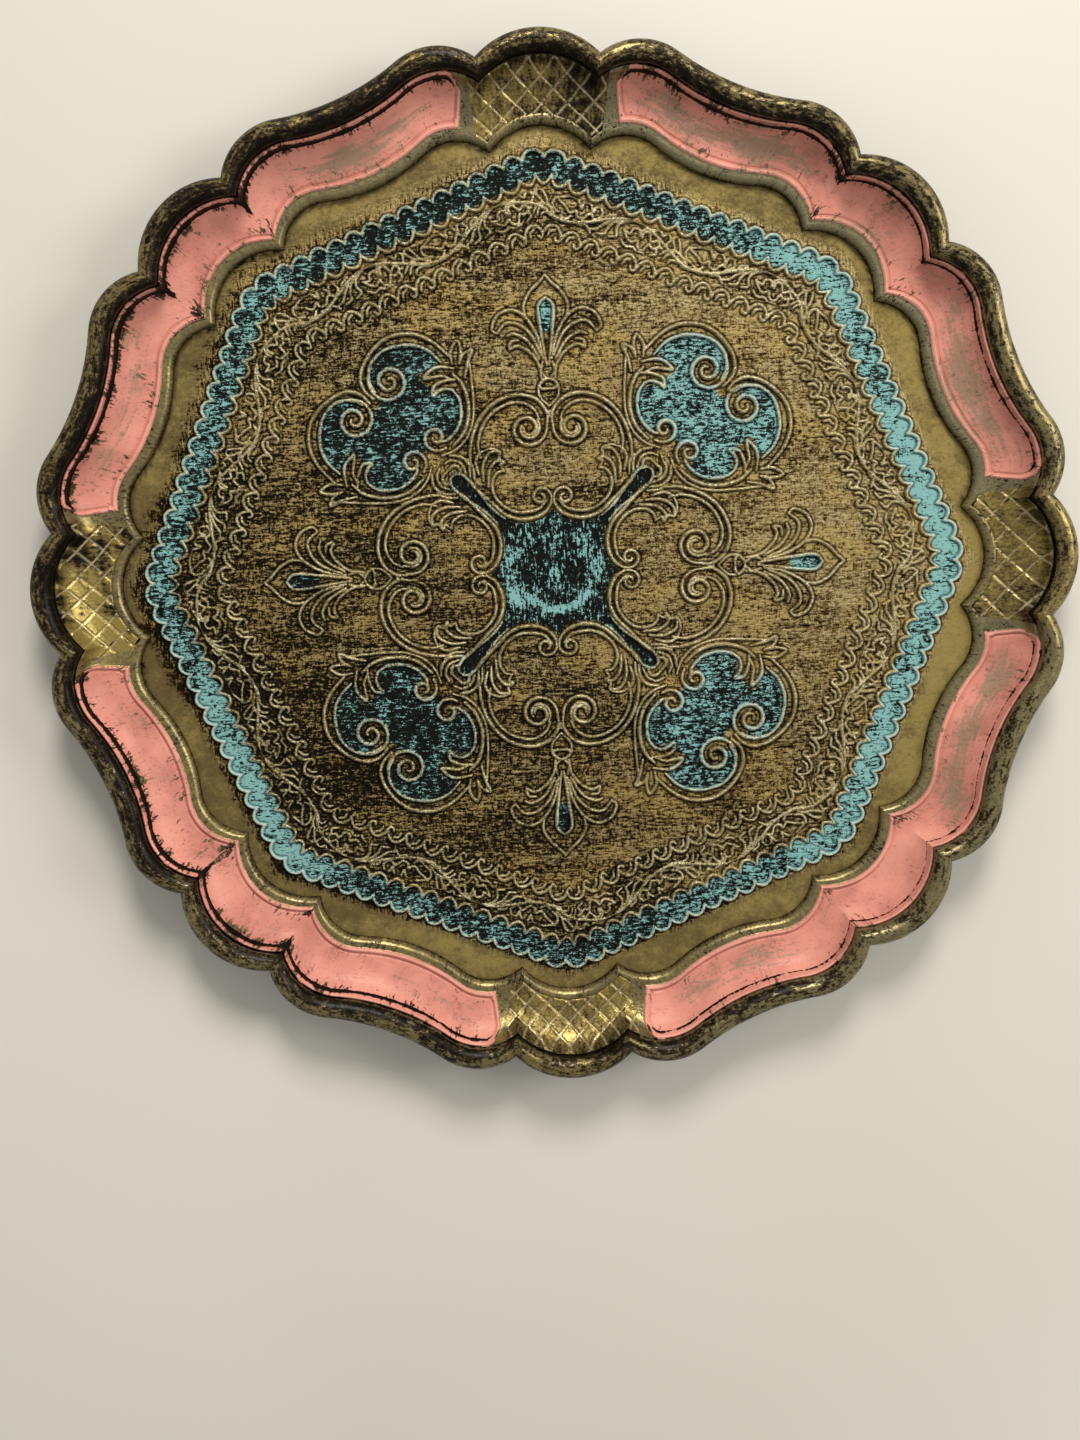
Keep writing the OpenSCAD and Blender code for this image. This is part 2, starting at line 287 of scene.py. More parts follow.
def rim_paint():
    """Bead, pink cove, lattice and step. The masks come with the mesh; noise roughens them."""
    p = Paint("painted_rim", gloss=0.12)
    rim = p.value("rim_place", "Vector")
    streak = p.noise((0.11, 0.85, 0), 4, 0.65, 3.0, rim)
    flake = p.noise((0.30, 0.70, 0), 6, 0.72, 7.0, rim)
    scrape = p.noise((0.20, 0.13, 0), 5, 0.75, 41.0, rim)
    scratch = p.noise((0.9, 0.35, 0), 4, 0.7, 47.0, rim)
    fleck = p.noise((0.9, 1.3, 0.9), 3, 0.65, 11.0)
    cloud = p.noise((0.05, 0.05, 0.05), 3, 0.55, 29.0)
    # Gold over a dark ground, chipped on the bead and flecked elsewhere.
    bead = p.value("bead")
    chips = p.wander((flake, 2.6), (streak, 0.9), (fleck, 1.3), (cloud, 1.0))
    flecks = p.wander((scratch, 1.7), (fleck, 1.2), (scrape, 1.0), (cloud, 0.9))
    level = p.total(p.value("leaf"), (bead, chips), (p.rest(bead), flecks))
    leaf = p.ramp(level, 0.46, 0.58)
    gold = p.mix(p.ramp(level, 0.60, 1.22), OLD_GOLD, YELLOW_GOLD)
    gold = p.mix(p.ramp(p.value("grey"), 0.0, 1.0, 0.0, 0.8), gold, OLIVE)
    colour = p.mix(leaf, p.mix(p.ramp(level, 0.10, 0.42), GROUND, EARTH), gold)
    # Pink, where it is not scuffed away, greyer where it is rubbed, and with a painted highlight along its
    # raised lips.
    marks = p.wander((scrape, 2.0), (scratch, 1.5), (fleck, 0.7), (cloud, 0.5))
    kept = p.times(p.ramp(p.total(p.value("scuff"), marks), 0.60, 0.52), p.value("pink"))
    rubbed = p.total((p.value("rub"), 0.55), p.wander((streak, 1.9), (cloud, 1.9), (fleck, 1.0)))
    pink = p.mix(p.ramp(cloud, 0.35, 0.65), SALMON, DEEP_SALMON)
    pink = p.mix(p.ramp(p.wander((fleck, 1.6), (streak, 0.9)), 0.0, 0.4, 0.0, 0.55), pink, DEEP_SALMON)
    pink = p.mix(p.ramp(rubbed, 0.36, 0.80, 0.0, 0.66), pink, OLIVE)
    pink = p.mix(p.ramp(p.value("lip"), 0.2, 1.0, 0.0, 0.25), pink, LIP_HIGHLIGHT_SALMON)
    colour = p.mix(kept, colour, pink)
    # Dark lines over both, with painted shade beside the lattice cuts, and painted highlights along the
    # cuts and the step.
    dark = p.total(p.value("dark"), p.wander((scrape, 1.2), (fleck, 0.6)))
    colour = p.mix(p.ramp(dark, 0.48, 0.60), colour, GROUND)
    colour = p.mix(p.times(p.value("glint"), p.ramp(fleck, 0.34, 0.48)), colour, GLINT_GOLD)
    p.bump(p.total((fleck, 0.4), (streak, 0.4), (leaf, 0.3), (kept, 0.4)), 0.25)
    metallic = p.times(p.times(leaf, p.rest(kept)), 0.7)
    return p.finish(colour, metallic, p.ramp(fleck, 0.3, 0.7, 0.24, 0.40))


def field_paint():
    """The floor and the ornament on it: worn gold over umber with a woven grain, and blue fields, with
    painted shade, highlights and sheen.
    """
    p = Paint("gilt_and_blue", gloss=0.05)
    ridge, foot_shade, blue = p.value("ridge"), p.value("foot_shade"), p.value("blue")
    plain, worn, upright = p.value("plain"), p.value("worn"), p.value("upright")
    weft = p.noise((0.30, 1.45, 0.2), 5, 0.68, 5.0)
    warp = p.noise((1.50, 0.28, 0.2), 4, 0.65, 17.0)
    mottle = p.noise((0.85, 1.05, 0.8), 4, 0.65, 23.0)
    fine = p.noise((2.0, 2.4, 1.5), 2, 0.5, 27.0)
    cloud = p.noise((0.020, 0.034, 0.02), 3, 0.6, 31.0)
    streak = p.noise((0.035, 0.35, 0.1), 4, 0.6, 37.0)
    blotch = p.noise((0.040, 0.075, 0.05), 3, 0.6, 53.0)
    spots = p.noise((0.16, 0.16, 0.1), 5, 0.75, 43.0)
    sheen_drift = p.sheen_drift(1.8, 0.9)
    along = p.mix(upright, weft, warp)
    # How much gold is left: a woven grain over the field, and a smooth plain margin. Both have less gold in
    # the painted shade at the feet of lines, and a painted sheen that brightens them slowly toward the
    # east.
    grain = p.wander((along, 2.3), (mottle, 1.8), (fine, 1.1), (warp, 1.0), (cloud, 0.5), (streak, 0.9))
    woven = p.total((grain, 1.15), (ridge, 0.30), (foot_shade, -0.25), sheen_drift, 0.50)
    smear = p.wander((cloud, 1.0), (spots, 1.1), (mottle, 0.4))
    margin = p.total(smear, p.sheen_drift(0.7, -0.3), (foot_shade, -0.3), 0.83)
    level = p.total((woven, p.rest(plain)), (margin, plain))
    leaf = p.ramp(level, 0.38, 0.60)
    gold = p.mix(p.ramp(level, 0.50, 1.15), OLD_GOLD, GOLD)
    gold = p.mix(p.times(p.ramp(cloud, 0.48, 0.64, 0.0, 0.45), p.rest(plain)), gold, RED_GOLD)
    gold = p.mix(p.ramp(blotch, 0.47, 0.60, 0.0, 0.65), gold, AMBER)
    margin_gold = p.mix(p.ramp(level, 0.62, 1.05), OLD_GOLD, YELLOW_GOLD)
    gold = p.mix(p.times(plain, 0.8), gold, margin_gold)
    # More rust in the dark ground toward the east and north, from the same painted sheen.
    under = p.mix(p.ramp(p.total(blotch, (sheen_drift, 0.7)), 0.40, 0.62), UMBER, RUST)
    under = p.mix(p.ramp(level, 0.34, 0.12), under, GROUND)
    colour = p.mix(leaf, under, gold)
    # Blue over black in the painted fields.
    cover = p.wander((along, 2.5), (mottle, 1.9), (fine, 1.0), (spots, 1.4))
    cover = p.total(cover, (worn, -1.0), (ridge, 0.32), 0.92)
    field = p.mix(p.ramp(cover, 0.22, 0.45), SOOT, SLATE)
    field = p.mix(p.ramp(cover, 0.47, 0.54), field, TURQUOISE)
    colour = p.mix(blue, colour, field)
    # Raised lines: painted shade at the foot, and rubbed bright on top, partly a painted highlight, or
    # tinted by the blue beside them.
    colour = p.mix(p.times(foot_shade, 0.86), colour, GROUND)
    rubbed = p.wander((fine, 1.4), (spots, 1.4))
    crest = p.times(p.ramp(ridge, 0.55, 0.98, 0.0, 0.9), p.ramp(rubbed, -0.40, 0.15))
    line = p.mix(p.ramp(rubbed, -0.10, 0.28), DIM_GOLD, LINE_GOLD)
    tint = p.ramp(p.total((worn, 0.6), p.wander((spots, 2.0))), 0.50, 0.20)
    colour = p.mix(crest, colour, p.mix(p.times(blue, tint), line, DULL_BLUE))
    weave_depth = p.ramp(plain, 0.0, 1.0, 0.5, 0.04)
    p.bump(p.total((grain, weave_depth), (blue, 0.2)), 0.25)
    metallic = p.times(p.times(p.maths("MAXIMUM", leaf, crest), p.rest(blue)), 0.65)
    return p.finish(colour, metallic, p.ramp(mottle, 0.3, 0.7, 0.24, 0.40))


def wood_paint(name, light, dark, per_mm, roughness):
    """Plain wood with straight grain along X."""
    p = Paint(name, roughness)
    grain = p.noise(per_mm, 5, 0.65, 7.0)
    pores = p.noise((per_mm[0] * 3, per_mm[1] * 9, per_mm[2] * 3), 2, 0.5, 13.0)
    mixed = p.total((grain, 1.2), (pores, 0.4), -0.3)
    p.bump(mixed, 0.15)
    return p.finish(p.mix(p.ramp(mixed, 0.3, 0.75), light, dark))


def steel_paint():
    p = Paint("pin_steel")
    brush = p.noise((4, 4, 0.3), 3, 0.6, 2.0)
    p.bump(brush, 0.02)
    return p.finish(p.mix(p.ramp(brush, 0.3, 0.7), (0.24, 0.23, 0.21), (0.42, 0.40, 0.37)), 0.9,
                    p.ramp(brush, 0.2, 0.8, 0.35, 0.55))


# ---- rim ----

def rim_height(o):
    """The rim's top, o in from the edge, before any carving."""
    half = BEAD_W / 2
    bead = BEAD_BASE + (RIM_H - BEAD_BASE) * np.sqrt(np.clip(1 - ((o - half) / half) ** 2, 0, 1))
    t = np.clip((o - COVE_START) / (COVE_END - COVE_START), 0, 1)
    cove = COVE_TOP - (COVE_TOP - STEP_Z + 0.2) * np.sqrt(1 - (1 - t) ** 2)
    top = np.where(o < BEAD_W, bead, cove)
    return top - LEDGE_DROP * np.clip((o - STEP_IN + LEDGE_W) / LEDGE_W, 0, 1) ** 2


def rim_offsets():
    """Distances in from the edge at which a section has a point on its top."""
    bead = BEAD_W / 2 * (1 - cosd(np.linspace(0, 168, 17)))
    cove = np.arange(BEAD_W + 0.1, PANEL_IN + 0.4, 0.3)
    flat = np.linspace(PANEL_IN + 0.6, STEP_IN, 11)
    return np.concatenate([bead, cove, flat])


# Points down the outside of the rim, from the foot up: in from the edge, and height.
UNDERSIDE = [(12.4, 0.0), (7.5, 3.6), (3.4, 9.0), (0.9, 13.4)]


def rim_grid(a0, a1, fine, coarse, end):
    """Angles of the sections: fine within end degrees of either joint, and one at each cusp."""
    angles = np.concatenate([np.arange(a0, a0 + end, fine), np.arange(a0 + end, a1 - end, coarse),
                             np.arange(a1 - end, a1, fine), [a1]])
    cusps = [k * PERIOD + s * CUSP_A for k in range(-1, 10) for s in (-1, 1)]
    cusps = [c for c in cusps if a0 < c < a1]
    angles = angles[[all(abs(a - c) > 0.06 for c in cusps) for a in angles]]
    return np.sort(np.concatenate([angles, cusps]))


def pad_hidden(mask, hidden, zero):
    """A mask on the top of the rim, carried on over its underside."""
    tail = np.zeros((mask.shape[0], hidden)) if zero else np.repeat(mask[:, :1] * 0.4, hidden, 1)
    return np.concatenate([mask, tail], 1).ravel()


def rim_piece(name, a0, a1, carve, paint, fine, coarse, end):
    """One segment of the rim. carve(a, o, r) gives the change of height and the paint masks."""
    angles = rim_grid(a0, a1, fine, coarse, end)
    a, o = np.meshgrid(angles, rim_offsets(), indexing="ij")
    edge = outline(a)
    r = edge - o
    change, masks = carve(a, o, r)
    # The cove runs past the cusps more softly than the edge does.
    soft_edge = np.mean([outline(a + turn) for turn in np.linspace(-CUSP_BLEND, CUSP_BLEND, 15)], 0)
    bead = o < BEAD_W
    soft_o = o + hump(o, COVE_MID, 5.5) * (soft_edge - edge) * ~bead
    z = rim_height(soft_o) + change + np.where(bead, 0.10, 0.05) * ripple(a * 9, o * 2, 3) * (o > 0.5)
    z = np.where(o < 0.1, BEAD_BASE, z)
    # On round the underside: the step, the rebate that holds the boards, and the outside.
    flat = 0 * r[:, :1]
    tucks = [(r[:, -1:] - 0.5, FLOOR_Z + 0.02), (flat + REBATE_R, FLOOR_Z + 0.02), (flat + REBATE_R, 0.0)]
    tucks += [(edge[:, :1] - inset, height) for inset, height in UNDERSIDE]
    r = np.concatenate([r] + [at for at, _ in tucks], 1)
    z = np.concatenate([z] + [flat + height for _, height in tucks], 1)
    rows, columns = r.shape
    hidden = len(tucks)
    around = np.repeat(angles[:, None], columns, 1)
    points = np.stack([r * cosd(around), r * sind(around), z], -1).reshape(-1, 3)
    caps = [list(range(columns))[::-1], list(range((rows - 1) * columns, rows * columns))]
    faces = grid_faces(rows, columns, tube=True)[:, ::-1].tolist() + caps
    values = {k: pad_hidden(v, hidden, k == "pink") for k, v in masks.items()}
    # Where each point is along the rim and across it, for the noise.
    steps = np.hypot(np.diff(edge[:, 0]), edge[1:, 0] * np.radians(np.diff(angles)))
    length = np.concatenate([[0], np.cumsum(steps)])
    place = np.stack([np.repeat(length[:, None], columns, 1) + a0 * 3,
                      np.concatenate([o, np.tile(np.linspace(28, 70, hidden), (rows, 1))], 1),
                      np.zeros((rows, columns))], -1)
    values["rim_place"] = place.reshape(-1, 3)
    return make_piece(name, points, faces, values, paint, [name])


def gold_bias(a):
    """How much gold is left at angle a: least at the upper left, most at the lower right."""
    return 0.5 + 0.5 * cosd(a + 42)


def bead_masks(a, o):
    """Where the bead is, and how much gold is left on it."""
    bias = gold_bias(a)
    leaf = (0.26 + 0.40 * bias - 0.24 * hump(a % TURN, 275, 45) + 0.16 * hump(o, 2.4, 2.0)
            - (0.06 + 0.28 * (1 - bias)) * smooth(o, 4.2, 6.6))
    return 1 - smooth(o, BEAD_W - 0.5, BEAD_W + 0.1), leaf


def cusp_distance(a, r):
    """Millimetres along the rim to the nearest cusp."""
    return np.abs(folded(a) - CUSP_A) * np.radians(1) * r


def step_glint(a, o):
    """A painted highlight: a bright line along the top of the step, on the west side, where its rounded
    edge faces the light.
    """
    return 0.3 * hump(o, STEP_IN - 0.6, 0.25) * hump(a, 195, 30)


def panel_depth(a, o, r, middle):
    """Distance in from the nearest edge of the pink panel; negative outside it."""
    from_joint = PERIOD - np.abs(a - middle)
    past_end = r * sind(from_joint) - (PANEL_END + PANEL_FLARE * (PANEL_END_R - r * cosd(from_joint)))
    outer = o - PANEL_OUT
    corner = PANEL_CORNER - np.hypot(np.clip(PANEL_CORNER - outer, 0, None),
                                     np.clip(PANEL_CORNER - past_end, 0, None))
    d = np.where((outer < PANEL_CORNER) & (past_end < PANEL_CORNER), corner, np.minimum(outer, past_end))
    return np.minimum(d, PANEL_IN - o)


def corner_carving(middle):
    """Carving and masks of a pink corner whose middle is at that angle."""

    def carve(a, o, r):
        d = panel_depth(a, o, r, middle)
        inner_side = (PANEL_IN - o) < 3.0
        lip = np.where(inner_side, 1.7, 1.25)
        line = np.where((d > 0) & (d < lip), np.sin(np.pi * np.clip(d / lip, 0, 1)) ** 0.8, 0)
        groove = hump(d, lip + 0.35, 0.33)
        change = (np.where(inner_side, 0.62, 0.5) * line - 0.42 * groove) * (o > BEAD_W)
        bead, leaf = bead_masks(a, o)
        cove = smooth(o, BEAD_W, BEAD_W + 0.5)
        wet = 0.5 - 0.5 * cosd(a + 30)
        dusty = gold_bias(a - 90) ** 2
        # Dark in the grooves, along the bead and in the cusps, most of all where wet is high.
        cusp = cusp_distance(a, r)
        under_lip = hump(d, 1.75, 0.35 + 0.35 * wet) * hump(o - PANEL_OUT, 1.6, 1.6)
        dark = ((0.60 + 0.30 * wet) * under_lip + (0.10 + 0.30 * wet) * groove) * cove
        dark += 0.55 * wet * hump(o, PANEL_IN + 0.25, 0.3)
        dark += (0.5 + 0.4 * wet) * hump(o, BEAD_W + 0.05, 0.30)
        dark += 0.9 * wet * hump(cusp, 0, 1.4) * hump(o, 9.4, 3.0)
        dark += 0.55 * wet * hump(cusp, 0, 0.8) * hump(o, 9, 7)
        # Scuffed at the cusps and beside the lines, and rubbed in the middle of the long lobes.
        scuff = 0.06 + 0.10 * wet + (0.22 + 0.22 * wet) * hump(o, 9.6, 1.6)
        scuff += 0.16 * hump(o, 20.5, 1.5) + 0.22 * hump(d, 0, 0.8)
        scuff += 0.34 * (0.3 + 0.7 * wet) * hump(cusp, 0, 3.0) * hump(o, 11.5, 8)
        scuff += 0.32 * hump(cusp, 0, 2.4) * hump(o, 20.5, 3.5)
        rub = hump(o, COVE_MID, 4.5) * (0.15 + 0.85 * smooth(folded(a), 9, 18))
        rub *= 0.5 + 0.75 * gold_bias(a - 100)
        rub += 0.25 * hump(turn_from(a, -70), 0, 35) + dusty * (0.35 + 0.5 * hump(o, PANEL_IN - 1, 1.5))
        return change, {
            "pink": smooth(d, -0.12, 0.12) * cove,
            "dark": np.clip(dark, 0, 1),
            "scuff": np.clip(scuff, 0, 1),
            "rub": rub,
            "leaf": np.where(bead > 0.5, leaf, np.where(d > 0.3, 0.25, 0.80)),
            "grey": np.where(bead > 0.5, 0.3 + 0.3 * gold_bias(a), 0.45 + 0.45 * dusty),
            "glint": step_glint(a, o),
            "lip": line * cove,
            "bead": bead,
        }

    return carve


def block_carving(axis, pitch, gilt, patchiness):
    """Carving and masks of a gilt block whose middle is at that angle: a criss-cross of cuts."""

    def carve(a, o, r):
        x, y = r * sind(a - axis), r * cosd(a - axis)
        cuts, glint, shade = np.zeros_like(o), np.zeros_like(o), np.zeros_like(o)
        # Each cut gets a painted highlight along one wall (glint) and painted shade along the other
        # (shade).
        for sign, shift in ((1, 1.9), (-1, 0.4)):
            lean = (x * sign + y) / math.sqrt(2) + shift + 0.35 * ripple(x * 2, y, 40 + sign)
            off = (lean + pitch / 2) % pitch - pitch / 2
            cuts = np.maximum(cuts, np.clip(1 - (off / CUT_W) ** 2, 0, 1))
            glint = np.maximum(glint, hump(off, -0.12, 0.26))
            shade = np.maximum(shade, hump(off, 0.42, 0.22))
        inside = smooth(o, BEAD_W + 0.3, BEAD_W + 1.2) * (1 - smooth(o, PANEL_IN - 0.1, PANEL_IN + 0.2))
        ledge = smooth(o, PANEL_IN + 0.3, PANEL_IN + 0.6)
        groove = hump(o, PANEL_IN + 0.3, 0.3)
        patchy = ripple(x * 3, y * 3, 61) + 0.5 * ripple(x * 9, y * 9, 62) + 0.03 * x
        left = (1 - ledge) * (gilt + patchiness * patchy - 0.25 * hump(o, 8.5, 1.8)) + 0.74 * ledge
        bead, leaf = bead_masks(a, o)
        # Dark at the bead's foot, at the cusps and in the groove by the ledge, plus the painted shade
        # beside the cuts.
        dark = hump(o, BEAD_W + 0.1, 0.4) + 0.35 * hump(cusp_distance(a, r), 0, 1.0)
        dark += 0.42 * shade * inside + 0.5 * groove
        masks = {key: 0 * o for key in ("pink", "scuff", "rub", "lip")}
        masks["dark"] = np.clip(dark, 0, 1)
        masks["leaf"] = np.where(bead > 0.5, leaf, left)
        masks["grey"] = np.where(bead > 0.5, 0.3, 0.5 * ledge)
        masks["glint"] = glint * inside * 0.75 + step_glint(a, o)
        masks["bead"] = bead
        return -CUT_DEPTH * cuts * inside - 0.3 * groove, masks

    return carve


def build_rim(paint):
    for k, corner in enumerate(CORNERS):
        middle = TURN / 4 * k + PERIOD
        rim_piece(f"rim_corner_{corner}", middle - PERIOD + BLOCK_A, middle + PERIOD - BLOCK_A,
                  corner_carving(middle), paint, 0.12, 0.3, 6)
    for k, (side, lattice) in enumerate(LATTICES.items()):
        axis = TURN // 4 * k
        rim_piece(f"rim_block_{side}", axis - BLOCK_A, axis + BLOCK_A,
                  block_carving(axis, *lattice), paint, 0.11, 0.11, 1)


# ---- lines of the ornament ----

def spline(points, n=8):
    """A smooth line through the points."""
    p = np.array(points, float)
    q = np.vstack([2 * p[0] - p[1], p, 2 * p[-1] - p[-2]])
    t = np.linspace(0, 1, n, endpoint=False)[:, None]
    parts = [0.5 * (2 * b + (c - a) * t + (2 * a - 5 * b + 4 * c - d) * t ** 2
                    + (3 * b - a - 3 * c + d) * t ** 3)
             for a, b, c, d in zip(q, q[1:], q[2:], q[3:])]
    return np.vstack(parts + [p[-1:]])


def volute(centre, r0, r1, start, turns):
    """A spiral from radius r0 to r1, starting at an angle; negative turns run clockwise."""
    u = np.linspace(0, 1, max(7, int(abs(turns) * 24)))[:, None]
    r = r0 + (r1 - r0) * u ** 0.85
    a = start + TURN * turns * u
    return np.array(centre) + r * np.hstack([cosd(a), sind(a)])


def mirrored(line):
    return line * [-1, 1]


def swapped(line):
    return line[:, ::-1]


def turned(points, quarter):
    """Points turned about the centre, by so many quarter turns clockwise from north."""
    a = -TURN / 4 * quarter
    x, y = points[..., 0], points[..., 1]
    return np.stack([x * cosd(a) - y * sind(a), x * sind(a) + y * cosd(a)], -1)


def curves(*strokes):
    """Smooth lines, each from a style and the points it runs through."""
    return [(spline(points), style) for style, *points in strokes]


# Width and height of a ridge.
BOLD, LINE, FINE = (1.75, 1.2), (1.4, 1.0), (1.1, 0.8)

# One half of each shape, as it lies to the north of the centre: the east half.
HEART = curves(
    (BOLD, (26, 36), (25.8, 41), (23.8, 47.5), (19.8, 53), (14.5, 56.2), (9, 57), (4, 55.3), (1, 51.5),
     (0.7, 48)),
    (LINE, (22.6, 37.5), (23.3, 42), (21.6, 47.5), (18, 51.8), (13, 54.3), (8.6, 54.4), (5, 52.3),
     (3.4, 49.2)),
    (BOLD, (0.4, 22.4), (2.6, 19.4), (6.5, 17.6), (11, 17.4), (15.5, 19.1), (19.6, 22.9), (24.6, 27.7),
     (27, 30.6)),
    (LINE, (2.0, 23.2), (4.4, 20.6), (8, 19.7), (12, 19.8), (16, 21.9), (18.8, 25.5), (19.2, 29.5),
     (17.6, 32.4), (15.3, 33)),
    (LINE, (20.6, 28), (20, 33.2), (17.6, 36.2), (15, 35.8)),
    (LINE, (22, 30), (22, 35), (19.8, 38.8), (16.5, 39.2)),
    (LINE, (23.4, 32), (24.3, 36), (23.2, 39)),
) + [
    (volute((7.2, 46.2), 6.5, 1.2, 164, 1.55), BOLD),
    (volute((7.2, 46.2), 4.3, 2.0, 140, 0.7), LINE),
    (volute((3.8, 24.3), 3.7, 0.8, 210, -1.3), LINE),
    (spline([(15.3, 33), (16.4, 35), (15, 35.8), (16.8, 37.2), (16.5, 39.2), (19.6, 40.2),
     (23.2, 39)], 6), FINE),
]

PALMETTE_DROP = spline([(0.4, 66), (1.6, 75), (2.5, 82), (2.2, 85.2), (0, 87.2)])
PALMETTE = curves(
    (LINE, (6.6, 81.5), (7, 85), (5, 89), (1.8, 92), (0, 94.3)),
    (LINE, (1.4, 68), (3, 75), (6.5, 81), (11, 83.6), (15.5, 82), (17.4, 78), (16, 76.2)),
    (LINE, (2, 69), (5, 75.6), (9, 79), (13, 79.4), (16, 76.2)),
    (LINE, (2.6, 68), (6, 73.5), (10, 76), (12.8, 75.5)),
    (LINE, (2.2, 62), (3, 66.5), (6, 70.5), (9.5, 72.3), (12, 71.3), (11.5, 73.6), (9, 74)),
    (LINE, (0, 61.8), (1.6, 61.2), (3, 59.6), (1.8, 58.6), (0, 58.6)),
    (FINE, (0.6, 62), (2.2, 64), (1.6, 67)),
    (FINE, (3.4, 59), (2.8, 56), (0, 53)),
) + [
    (PALMETTE_DROP, LINE),
]

CARTOUCHE = curves(
    (BOLD, (31, 69.6), (36, 74.2), (41, 76.8), (46, 77.4), (51, 76.2), (55.5, 72.8), (58.8, 68),
     (59.9, 63.5), (58.6, 59.8), (56, 57.3)),
    (LINE, (34, 68), (37.8, 71.8), (43, 73.8), (48.6, 73.5), (53.4, 71.6), (56.8, 67.4), (57, 62.6),
     (55.4, 59.4)),
    (BOLD, (30.5, 64.3), (27.6, 61), (26, 56), (26, 50.5), (27.8, 45.5), (31.3, 41.5)),
    (LINE, (30.8, 59.5), (28.6, 56), (28.3, 51), (29.9, 46.7), (33, 43.6), (35.2, 43)),
    (FINE, (25.2, 70.6), (24.6, 63), (24.2, 56), (24.6, 49.5), (26.8, 44), (30.6, 40.3), (35, 38.6)),
    (LINE, (30, 66), (34, 66.6), (37, 66), (39.8, 63.3), (37, 63.4), (34, 63.8), (31, 62.6)),
    (LINE, (29.5, 62.5), (33, 62.2), (36.6, 60.6), (37, 57.6), (35.4, 59), (32.6, 59.8), (30, 58.6)),
    (LINE, (30.5, 67.5), (30.8, 71.5), (28.6, 74.6), (27.6, 71.5), (28.2, 68)),
    (LINE, (28.2, 67.5), (26.8, 70.4), (24, 71.5), (25.6, 67.6), (26.6, 63)),
) + [
    (volute((50.8, 62.6), 7.2, 0.9, 36, -1.9), BOLD),
    (volute((36.8, 44.4), 4.6, 0.9, 226, 1.35), BOLD),
]
# Half of the blue field inside a cartouche, from its inner end on the diagonal round to its outer
# notch. It leaves out the small volute, the leaf and the big volute, which are gilt.
CARTOUCHE_FIELD = spline([
    (40.4, 40.4), (39.7, 42.2), (40.2, 44.8), (38.8, 47.2), (36, 47.6), (33.6, 45.4), (31.4, 45.2),
    (29, 49), (28.4, 54), (30.2, 57.6), (33.6, 58.4), (37, 57.4), (38.2, 60.4), (41.2, 62.8),
    (40.2, 65.6), (36.6, 66.6), (36, 69.4), (39.4, 72.2), (44, 73.2), (49.4, 72.8), (53.8, 70.6),
    (56.2, 66.4), (56, 62.4), (54.2, 61.6), (53.6, 65), (50.8, 67.6), (47.4, 66.4), (45.8, 63),
    (46.8, 59.2), (50.2, 57.2), (53.4, 56.2), (54.4, 54.4)
], 3)

# From the north cusp of the centre panel round to the tip of its north-east arm.
PANEL_EDGE = spline([(0, 20.8), (2.6, 18.0), (6.5, 16.3), (11, 16.1), (15.5, 17.7), (19.2, 20.8),
                     (22, 24.4), (25.2, 28.8), (28, 31.6), (30.4, 32.2), (31.6, 31.6)])
ARM = curves(
    (LINE, (29.3, 32.4), (29.7, 34.6), (31.6, 35.2), (33.5, 33.6)),
    (LINE, (26.2, 31.4), (26.6, 35.4), (29, 38), (32.5, 38.6)),
    (FINE, (27.5, 32.5), (29, 35.8), (32, 37), (34.5, 36)),
    (FINE, (25, 30.6), (25.2, 34.4), (26.8, 37.2)),
) + [
    (PANEL_EDGE[32:] * 1.012, LINE),
]


def half_loop(edge):
    """A closed outline, symmetric about the diagonal, from half of it."""
    return np.vstack([edge, swapped(edge)[::-1][1:-1]])


def nearest(px, py, a, b):
    """The nearest points of the stretches from a to b: how far along each, and how far away."""
    step = b - a
    size = np.maximum((step ** 2).sum(1), 1e-9)
    dx, dy = px[..., None] - a[:, 0], py[..., None] - a[:, 1]
    t = np.clip((dx * step[:, 0] + dy * step[:, 1]) / size, 0, 1)
    return t, np.hypot(dx - t * step[:, 0], dy - t * step[:, 1])


